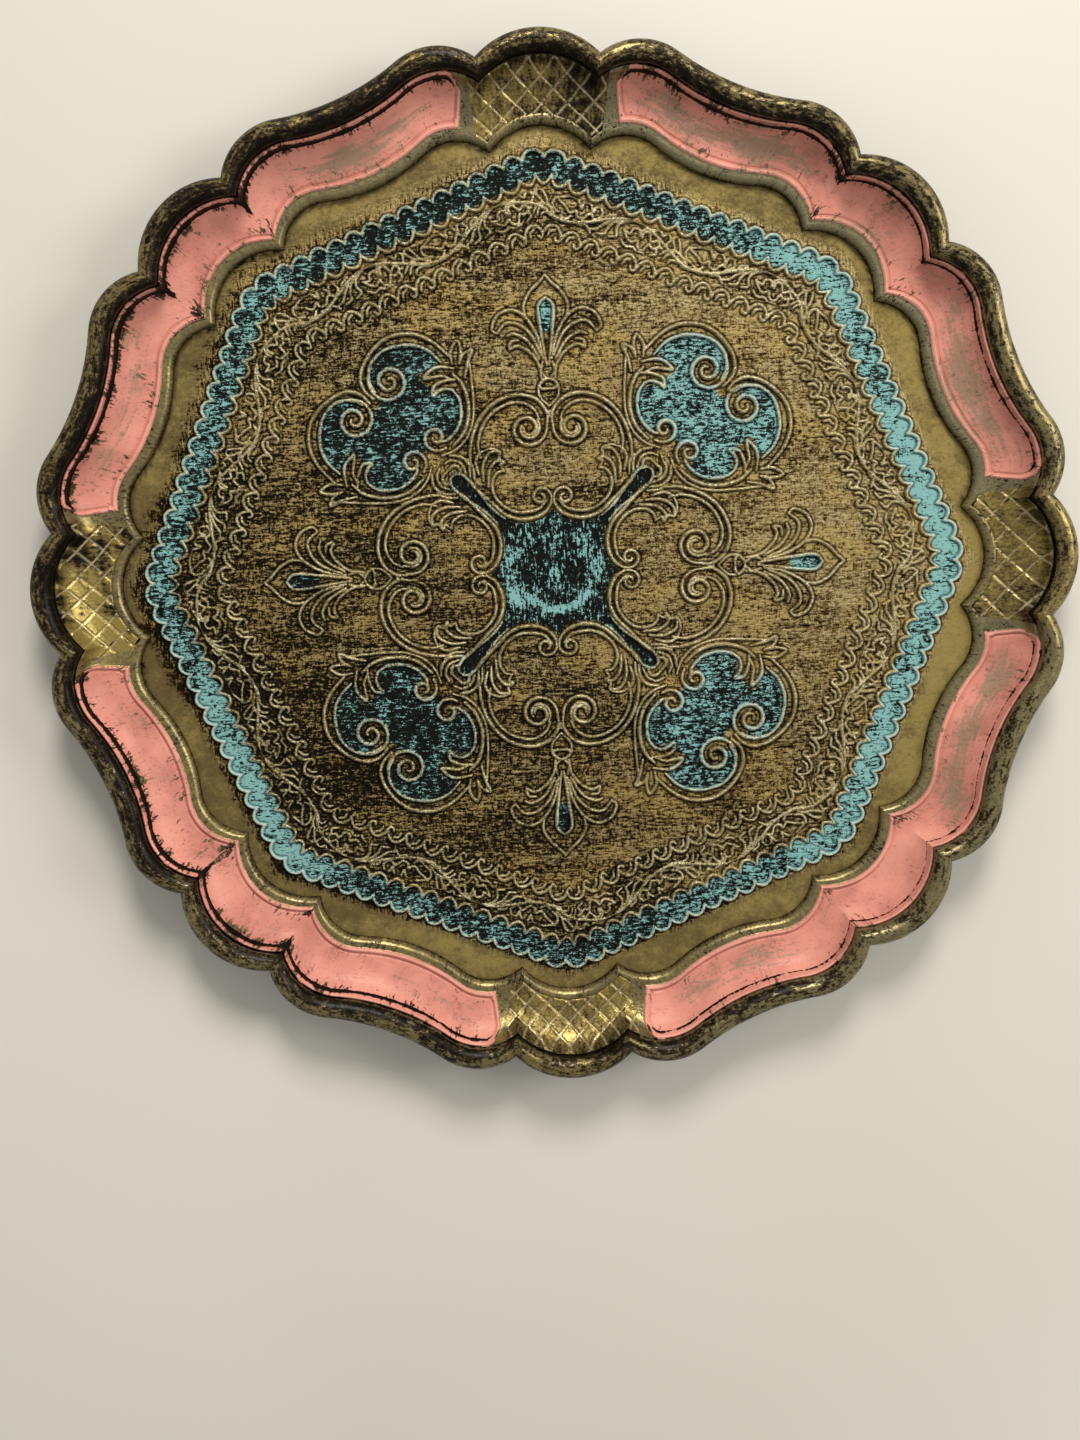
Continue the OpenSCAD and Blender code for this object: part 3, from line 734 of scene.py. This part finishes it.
class Relief:
    """Heights over a set of points: rounded ridges along lines, and flat painted fields."""

    def __init__(self, x, y):
        self.x, self.y = x, y
        self.height, self.ridge, self.blue, self.tint = np.zeros((4, *x.shape))
        self.edge = np.full_like(x, 9.0)
        self.inside = np.zeros(x.shape, bool)

    def add_line(self, line, style, taper=0.55):
        """A ridge along a line. Its ends thin down to taper times its width."""
        width, height = style
        reach = width / 2 + 1.6
        low, high = line.min(0) - reach, line.max(0) + reach
        near = np.nonzero((self.x > low[0]) & (self.x < high[0]) & (self.y > low[1]) & (self.y < high[1]))
        if not len(near[0]):
            return
        u = np.linspace(0, 1, len(line))
        half = width / 2 * (taper + (1 - taper) * np.minimum(1, 4 * np.minimum(u, 1 - u) + 0.15))
        t, distance = nearest(self.x[near], self.y[near], line[:-1], line[1:])
        wide = half[:-1] + t * np.diff(half)
        best = np.argmin(distance - wide, axis=1)
        rows = np.arange(len(best))
        distance, wide = distance[rows, best], wide[rows, best]
        raised = np.cos(np.pi / 2 * np.clip(distance / (wide + 0.15), 0, 1)) ** 1.1
        self.height[near] = np.maximum(self.height[near], height * raised * (wide / (width / 2)) ** 0.5)
        self.ridge[near] = np.maximum(self.ridge[near], raised)
        self.edge[near] = np.minimum(self.edge[near], distance - wide)

    def add_field(self, loop, spill=0.5):
        """Marks the inside of a closed outline as painted, and spills a little paint past it."""
        a, b = loop, np.roll(loop, -1, axis=0)
        px, py = self.x[..., None], self.y[..., None]
        crosses = (a[:, 1] > py) != (b[:, 1] > py)
        with np.errstate(divide="ignore", invalid="ignore"):
            at = (b[:, 0] - a[:, 0]) * (py - a[:, 1]) / (b[:, 1] - a[:, 1]) + a[:, 0]
        inside = (np.sum(crosses & (px < at), axis=-1) % 2).astype(bool)
        gap = nearest(self.x, self.y, a, b)[1].min(-1)
        gap = np.where(inside, -gap, gap)
        self.blue = np.maximum(self.blue, 1 - smooth(gap, -0.1, 0.35))
        self.tint = np.maximum(self.tint, spill * (1 - smooth(gap, 0.3, 3.0)))
        self.inside |= gap < 0.4

    def painted(self):
        """The painted fields, and a smear of their paint on the lines beside them."""
        return np.maximum(self.blue, self.tint * smooth(self.ridge, 0.1, 0.7))

    def foot_shade(self):
        """Painted shade: 1 in the dark line at the foot of a ridge, fading away from it."""
        return hump(np.maximum(self.edge, 0), 0.10, 0.32) * (1 - smooth(self.ridge, 0.1, 0.6))


# How far the relief's ground lies above the floor, its border lies below, and it spreads past a line.
LIFT, TUCK, KEEP = 0.06, 0.03, 1.3


def patch(low, high, draw, step=RELIEF_STEP):
    """A relief over a rectangle, drawn by draw(relief), as points, quads and masks.
    Squares far from every line and field are left out, and the border sinks into the floor."""
    nx, ny = (int(round((h - l) / step)) + 1 for l, h in zip(low, high))
    x, y = np.meshgrid(np.linspace(low[0], high[0], nx), np.linspace(low[1], high[1], ny), indexing="ij")
    relief = Relief(x, y)
    draw(relief)
    wanted = (relief.edge < KEEP) | relief.inside
    cells = wanted[:-1, :-1] & wanted[1:, :-1] & wanted[:-1, 1:] & wanted[1:, 1:]
    touched = np.zeros(x.shape, int)
    for di in (0, 1):
        for dj in (0, 1):
            touched[di:nx - 1 + di, dj:ny - 1 + dj] += cells
    used, rim = touched > 0, (touched > 0) & (touched < 4)
    z = FLOOR_Z + np.where(rim, -TUCK, LIFT + relief.height + 0.06 * relief.inside)
    index = np.full(x.shape, -1)
    index[used] = np.arange(used.sum())
    i, j = np.nonzero(cells)
    quads = np.stack([index[i, j], index[i + 1, j], index[i + 1, j + 1], index[i, j + 1]], 1)
    below = np.where(rim, index, index + used.sum())
    under = np.stack([below[i, j], below[i, j + 1], below[i + 1, j + 1], below[i + 1, j]], 1)
    top = np.stack([x[used], y[used], z[used]], 1)
    bottom = top * [1, 1, 0] + [0, 0, FLOOR_Z - TUCK]
    fade = np.where(rim, 0, 1)
    masks = {"ridge": relief.ridge, "foot_shade": relief.foot_shade() * fade, "blue": relief.painted() * fade}
    masks = {k: np.tile(v[used], 2) for k, v in masks.items()}
    return np.vstack([top, bottom]), np.vstack([quads, under]), masks


def add_patch(name, shape, quarter, worn, paint, upright=0.0):
    """A piece made of a relief turned by so many quarters. worn is a number or a function."""
    points, quads, masks = shape
    flat = turned(points[:, :2], quarter)
    placed = np.hstack([flat, points[:, 2:]])
    used, faces = np.unique(quads, return_inverse=True)
    values = {k: v[used] for k, v in masks.items()}
    values["worn"] = worn(*flat[used].T) if callable(worn) else np.full(len(used), worn)
    values["upright"] = np.full(len(used), upright)
    make_piece(name, placed[used], faces.reshape(-1, 4).tolist(), values, paint, [name], sharp=80)


def draw_both(relief, strokes, twin):
    """Lines, and their twins on the other side of the shape."""
    for line, style in strokes:
        relief.add_line(line, style)
        relief.add_line(twin(line), style)


def draw_heart(relief):
    draw_both(relief, HEART, mirrored)
    relief.add_line(volute((0, 50.4), 1.3, 0.2, 0, 1.2), FINE)


def draw_palmette(relief):
    drop = PALMETTE_DROP[PALMETTE_DROP[:, 1] > 75] * 0.9 + [0, 8.3]
    relief.add_field(np.vstack([drop, mirrored(drop)[::-1]]), 0.25)
    draw_both(relief, PALMETTE, mirrored)


def draw_cartouche(relief):
    relief.add_field(half_loop(CARTOUCHE_FIELD), 0.8)
    draw_both(relief, CARTOUCHE, swapped)


def draw_centre(relief):
    quarter = half_loop(PANEL_EDGE)[:2 * len(PANEL_EDGE) - 2]
    relief.add_field(np.vstack([turned(quarter, k) for k in range(4)]), 0.9)
    for k in range(4):
        for line, style in ARM:
            relief.add_line(turned(line, k), style)
            relief.add_line(turned(swapped(line), k), style)


def centre_worn(x, y):
    """The centre panel is mostly bare, with blue left on parts of a ring and in the middle."""
    r, a = np.hypot(x, y), np.degrees(np.arctan2(y, x))
    left = 0.9 * hump(r, 0, 2.0)
    for radius, width, share, middle, spread in CENTRE_RING:
        left = np.maximum(left, share * hump(r, radius, width) * hump(turn_from(a, middle), 0, spread))
    left = np.maximum(left, hump(r, 12.4, 1.5) * (0.30 + 0.85 * hump(turn_from(a, -85), 0, 50)))
    return 0.73 - 0.60 * left + 0.14 * smooth(r, 20, 26)


# Blue left on the centre panel: radius, width, share, and the angle of its middle and its spread.
CENTRE_RING = ((15.5, 2.6, 1.0, -150, 18), (14.5, 2.2, 0.6, 170, 32), (14.0, 2.5, 0.55, 5, 40))
# How bare the blue is, clockwise.
PALMETTE_WORN = {"n": 0.5, "e": 0.4, "s": 0.75, "w": 0.85}
CARTOUCHE_WORN = {"ne": 0.48, "se": 0.56, "sw": 0.74, "nw": 0.68}


def build_ornament(paint):
    heart = patch((-28, 15), (28, 59), draw_heart)
    palmette = patch((-20, 51), (20, 96.5), draw_palmette)
    cartouche = patch((22, 22), (80, 80), draw_cartouche)
    centre = patch((-41, -41), (41, 41), draw_centre, 0.3)
    add_patch("centre_panel", centre, 0, centre_worn, paint, upright=1.0)
    for k, side in enumerate(PALMETTE_WORN):
        add_patch(f"heart_scroll_{side}", heart, k, 0.5, paint)
        add_patch(f"palmette_{side}", palmette, k, PALMETTE_WORN[side], paint)
    for k, (corner, worn) in enumerate(CARTOUCHE_WORN.items()):
        add_patch(f"cartouche_{corner}", cartouche, k, worn, paint)


# ---- the three borders ----

class Ring:
    """An eight-sided ring with rounded corners. s runs along a side from its middle, a is the
    distance from the tray's centre across the side. Lines of the ornament are drawn in s and a."""

    def __init__(self, corner_a, middle_a):
        self.corner_a = corner_a
        self.straight = corner_a * math.tan(math.radians(HALF))
        self.bend = middle_a - corner_a
        self.side = 2 * (self.straight + self.bend * math.radians(HALF))

    def place(self, s, a, side):
        """Positions of points on one of the eight sides."""
        over = np.clip(np.abs(s) - self.straight, 0, None)
        turn = np.degrees(over / self.bend)
        out = self.corner_a + (a - self.corner_a) * cosd(turn)
        along = np.sign(s) * (np.minimum(np.abs(s), self.straight) + (a - self.corner_a) * sind(turn))
        facing = PERIOD * side + HALF
        return np.stack([out * cosd(facing) - along * sind(facing),
                         out * sind(facing) + along * cosd(facing)], -1)


def ring_piece(name, ring, a_low, a_high, strokes, paint, blue=None, worn=None):
    """A border: strokes are lines in s and a over one side, repeated on all eight."""
    ns, na = int(ring.side / RING_STEP), int((a_high - a_low) / RING_STEP)
    s = (np.arange(ns) / ns - 0.5) * ring.side
    s, a = np.meshgrid(s, np.linspace(a_low, a_high, na), indexing="ij")
    relief = Relief(s, a)
    for line, style in strokes:
        for shift in (-ring.side, 0, ring.side):
            relief.add_line(line + [shift, 0], style, 0.8)
    border = (a < a_low + 0.01) | (a > a_high - 0.01)
    z = FLOOR_Z + np.where(border, -TUCK, LIFT + relief.height)
    flat = np.stack([ring.place(s, a, side) for side in range(8)])
    points = np.concatenate([flat, np.broadcast_to(z, flat.shape[:3])[..., None]], -1).reshape(-1, 3)
    masks = {"ridge": relief.ridge, "foot_shade": relief.foot_shade() * ~border}
    masks["blue"] = blue(s, a) if blue else 0 * s
    values = {key: np.tile(mask.ravel(), 8) for key, mask in masks.items()}
    angle = np.degrees(np.arctan2(points[:, 1], points[:, 0])) % TURN
    values["worn"] = worn(angle) if worn else 0 * angle
    faces = grid_faces(8 * ns, na, closed=True, tube=True)[:, ::-1].tolist()
    make_piece(name, points, faces, values, paint, [name], sharp=80)


# How round a scallop is: less than 1 is fuller than a sine.
ROUND = 0.62


def scallops(ring, count, cusp_a, crest_a):
    """Arcs side by side along one side of a ring, from cusp to cusp."""
    pitch = ring.side / count
    u = np.linspace(0, 1, 11)
    bulge = np.sin(np.pi * u) ** ROUND
    return [np.stack([-ring.side / 2 + (i + u) * pitch, cusp_a + (crest_a - cusp_a) * bulge], 1)
            for i in range(count)]


BRAID_N, BRAID_SHIFT = 16, -1.0
BRAID_OUT, BRAID_IN = (121.6, 124.2), (116.8, 113.7)


def braid_strokes(ring):
    """Two rows of arcs, the inner row half an arc further along."""
    half = ring.side / BRAID_N / 2
    rows = ((BRAID_SHIFT, BRAID_OUT), (BRAID_SHIFT + half, BRAID_IN))
    return [(line + [shift, 0], LINE) for shift, row in rows for line in scallops(ring, BRAID_N, *row)]


def braid_blue(ring):
    """The braid is painted between its two rows of arcs."""
    pitch = ring.side / BRAID_N

    def blue(s, a):
        turn = np.pi * (s + ring.side / 2 - BRAID_SHIFT) / pitch
        outer = BRAID_OUT[0] + (BRAID_OUT[1] - BRAID_OUT[0]) * np.abs(np.sin(turn)) ** ROUND
        inner = BRAID_IN[0] + (BRAID_IN[1] - BRAID_IN[0]) * np.abs(np.cos(turn)) ** ROUND
        ragged = 0.5 * ripple(s * 9, a * 6, 77)
        return smooth(np.minimum(outer - a + 0.3, a - np.maximum(inner + 0.5, 115.2) + ragged), -0.4, 0.2)

    return blue


# How bare the braid's paint is, every 15 degrees from east, anticlockwise.
BRAID_WORN = [0.20, 0.15, 0.45, 0.25, 0.50, 0.65, 0.72, 0.72, 0.74, 0.50, 0.56, 0.50,
              0.54, 0.40, 0.26, 0.32, 0.66, 0.62, 0.66, 0.55, 0.55, 0.32, 0.25, 0.36]


def braid_worn(angle):
    return np.interp(angle, np.arange(25) * 15, BRAID_WORN + BRAID_WORN[:1])


VINE_MID, VINE_SWING, VINE_WAVES, VINE_SHIFT = 108.6, 3.9, 2, 14.5
WAVE = 45
# Ornament of one wave, as if it were WAVE long: distance along it from its crest, and height above the
# middle line. First the leaf under the crest, then the leaf over the trough, then the fronds between.
VINE_LEAVES = [
    [(-9.8, -1.0), (-8.4, 0.6), (-6.6, -0.4), (-5.2, 2.0), (-3.6, 1.6), (-3.4, -0.2), (-1.6, 1.9),
     (0.2, 1.2), (0.4, -0.3), (2.8, 0.2)],
    [(-9.8, -1.0), (-7.6, -2.2), (-6.2, -1.4), (-4.8, -3.9), (-3.0, -3.2), (-2.4, -1.5), (-0.6, -2.6),
     (1.2, -1.6), (2.8, 0.2)],
    [(10.6, 1.8), (11.8, 3.9), (13.4, 3.4), (13.8, 1.6), (15.4, 3.9), (17.4, 3.7), (17.8, 1.6), (19.6, 3.8),
     (22.0, 3.9), (26.2, 2.0)],
    [(10.6, 1.8), (12.4, 0.0), (14.6, 0.9), (16.4, -1.3), (18.4, -1.0), (18.9, 0.4), (20.8, -0.9),
     (22.8, 0.5), (26.2, 2.0)],
    [(-7.0, 3.6), (-4.2, 3.0), (-2.6, 1.6), (-2.4, 0.2)],
    [(1.0, 3.7), (4.0, 2.2), (5.2, -0.2), (4.4, -2.5), (6.6, -3.5)],
    [(4.0, 2.9), (6.6, 0.9), (7.8, -1.2), (8.2, -3.2), (10.4, -3.9)],
    [(7.0, 1.6), (9.4, -0.6), (11.0, -2.6), (12.8, -3.2)],
    [(26.4, 2.3), (26.9, 0.4), (26.0, -1.2), (24.2, -2.0)],
    [(28.0, -1.2), (29.2, 1.4), (30.6, 3.8), (32.0, 3.2), (31.2, 1.2), (29.4, -0.6)],
    [(33.4, 0.8), (32.8, 2.6), (34.2, 3.9), (35.4, 2.6), (36.8, 4.0), (38.2, 3.4)],
    [(25.4, -2.8), (28.4, -0.9), (31.8, -0.7), (34.4, -2.9)],
    [(26.6, -3.3), (29.6, -1.9), (31.8, -2.1), (33.0, -3.9)],
    [(23.8, -4.3), (26.6, -3.9), (28.4, -3.2), (30.6, -3.6), (31.2, -4.8)],
    [(9.6, 0.7), (9.0, 2.6), (6.8, 3.4), (8.2, 4.4)],
    [(12.6, -4.4), (14.6, -2.7), (16.6, -3.3), (18.6, -2.5)],
    [(34.4, -1.0), (36.2, -1.6), (35.6, -3.4), (37.4, -4.4)],
    [(-5.6, -4.6), (-3.4, -5.0), (-1.6, -3.9), (0.6, -4.4), (2.6, -3.0)],
    [(20.0, -1.8), (21.4, -3.2), (23.2, -2.6)],
]


def vine_strokes(ring):
    wave = ring.side / VINE_WAVES
    strokes = []
    for k in range(VINE_WAVES):
        start = k * wave + VINE_SHIFT
        s = np.linspace(0, wave, 49)
        stem = np.stack([start + s, VINE_MID + VINE_SWING * cosd(TURN * s / wave)], 1)
        strokes.append((stem, LINE))
        for line in VINE_LEAVES:
            strokes.append((spline(line, 5) * [wave / WAVE, 1] + [start, VINE_MID], FINE))
    return strokes


LACE_N = 13


def lace_strokes(ring):
    pitch = ring.side / LACE_N
    strokes = [(line, LINE) for line in scallops(ring, LACE_N, 98.8, 102.3)]
    for i in range(LACE_N):
        s = -ring.side / 2 + i * pitch
        strokes.append((spline([(s, 98.8), (s + 0.5, 98.0), (s + 1.5, 98.0), (s + 2.0, 98.9)], 5), FINE))
        strokes.append((spline([(s + 2.6, 100.9), (s + 4.0, 100.3), (s + 4.6, 98.7)], 5), FINE))
    return strokes


def build_borders(paint):
    braid, vine, lace = Ring(103, 119), Ring(98, 109), Ring(94, 100)
    ring_piece("braid_border", braid, 112.6, 125.2, braid_strokes(braid), paint,
               braid_blue(braid), braid_worn)
    ring_piece("vine_border", vine, 103.5, 112.58, vine_strokes(vine), paint)
    ring_piece("lace_border", lace, 96.4, 103.48, lace_strokes(lace), paint)


# ---- boards ----

def build_floor(paint):
    """The floor board: a disc whose top wanders a little, as hand-finished wood does."""
    radius = REBATE_R - BOARD_GAP
    rings, spokes = 120, 288
    r, a = np.meshgrid(np.linspace(0.5, radius, rings), np.arange(spokes) * TURN / spokes, indexing="ij")
    x, y = r * cosd(a), r * sind(a)
    facing = [k * PERIOD + HALF for k in range(4)]
    across = np.max([np.abs(x * cosd(side) + y * sind(side)) for side in facing], 0)
    top = np.stack([x, y, FLOOR_Z + 0.02 * ripple(x, y, 9) - 0.02], -1).reshape(-1, 3)
    low = np.stack([x[-1], y[-1], np.full(spokes, BACK_T)], -1)
    faces = grid_faces(rings + 1, spokes, tube=True)[:, ::-1].tolist()
    caps = [list(range(spokes)), list(range(rings * spokes, (rings + 1) * spokes))[::-1]]

    def with_low(mask, value):
        return np.concatenate([mask.ravel(), np.full(spokes, value)])

    bare_edge = 127.5 + 6 * (1 - gold_bias(a)) ** 2
    # A little dark at the foot of the step all round, and mostly a painted shadow of the step, strongest
    # toward the north.
    foot = hump(outline(a) - STEP_IN - r, 0.2, 0.7) * (0.15 + 0.85 * smooth(y, -60, 60))
    values = {key: with_low(0 * r, 0) for key in ("ridge", "blue", "worn")}
    values["plain"] = with_low(smooth(across, 124.0, bare_edge) ** 0.7, 1)
    values["foot_shade"] = with_low(foot, 0)
    values["upright"] = with_low(hump(across, 125.8, 2.0), 0)
    make_piece("floor_board", np.vstack([top, low]), faces + caps, values, paint,
               ["floor_board"])


def dress_cad_nodes():
    """Materials for the three nodes whose CAD shape is kept."""
    paints = {
        "back_board": wood_paint("stained_back", (0.055, 0.032, 0.018), (0.020, 0.011, 0.006),
                                 (0.02, 0.35, 0.1), 0.42),
        "rim_dowels": wood_paint("bare_beech", (0.50, 0.33, 0.18), (0.36, 0.22, 0.11),
                                 (0.1, 0.6, 0.6), 0.6),
        "panel_pins": steel_paint(),
    }
    for node, paint in paints.items():
        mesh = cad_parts[node].data
        mesh.materials.clear()
        mesh.materials.append(paint)


# ---- floor, lights and camera ----

def build_stage():
    """A wide pale floor for the tray to lie on."""
    p = Paint("pale_floor", 0.7)
    cloud = p.noise((0.004, 0.004, 0.004), 2, 0.5, 1.0)
    p.finish(p.mix(p.ramp(cloud, 0.3, 0.7), (0.55, 0.53, 0.468), (0.59, 0.572, 0.514)))
    size = 4.0
    mesh = bpy.data.meshes.new("floor")
    corners = [(-size, -size, 0), (size, -size, 0), (size, size, 0), (-size, size, 0)]
    mesh.from_pydata(corners, [], [(0, 1, 2, 3)])
    mesh.materials.append(p.material)
    floor = link("floor", mesh)
    floor.location.z = -0.0002


def area_light(name, at, aim, size, power, colour):
    data = bpy.data.lights.new(name, "AREA")
    data.shape, data.size, data.energy, data.color = "DISK", size, power, colour
    lamp = link(name, data)
    lamp.location = at
    lamp.rotation_euler = (Vector(aim) - Vector(at)).to_track_quat("-Z", "Y").to_euler()


def build_lights():
    area_light("ceiling", (0.1, 1.15, 1.0), (0, 0, 0), 0.5, 21, (1.0, 0.96, 0.90))
    area_light("window", (0.95, 0.25, 0.75), (0, 0, 0), 0.6, 7.5, (1.0, 0.97, 0.93))
    world = bpy.data.worlds.new("room")
    world.use_nodes = True
    background = world.node_tree.nodes["Background"].inputs
    background["Color"].default_value = (0.95, 0.93, 0.89, 1)
    background["Strength"].default_value = 0.52
    bpy.context.scene.world = world


def build_camera():
    data = bpy.data.cameras.new("camera")
    data.lens, data.sensor_width = CAMERA_LENS, 36
    camera = link("camera", data)
    back = (Vector(CAMERA_AT) - Vector(CAMERA_AIM)).normalized()
    right = Vector((0, 1, 0)).cross(back).normalized()
    axes = Matrix((right, back.cross(right), back)).transposed()
    turn = Matrix.Rotation(math.radians(CAMERA_ROLL), 3, back)
    camera.matrix_world = Matrix.Translation(CAMERA_AT) @ (turn @ axes).to_4x4()
    bpy.context.scene.camera = camera
    bpy.context.scene.view_settings.view_transform = "Standard"


# ---- the scene ----

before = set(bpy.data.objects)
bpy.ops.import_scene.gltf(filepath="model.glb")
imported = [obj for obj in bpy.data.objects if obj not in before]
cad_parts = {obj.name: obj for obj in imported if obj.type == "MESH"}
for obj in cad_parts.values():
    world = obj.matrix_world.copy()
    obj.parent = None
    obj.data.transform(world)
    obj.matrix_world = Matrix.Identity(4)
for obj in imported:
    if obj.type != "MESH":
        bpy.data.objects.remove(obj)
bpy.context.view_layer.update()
build_camera()
build_lights()
build_stage()
field = field_paint()
build_rim(rim_paint())
build_floor(field)
build_ornament(field)
build_borders(field)
dress_cad_nodes()
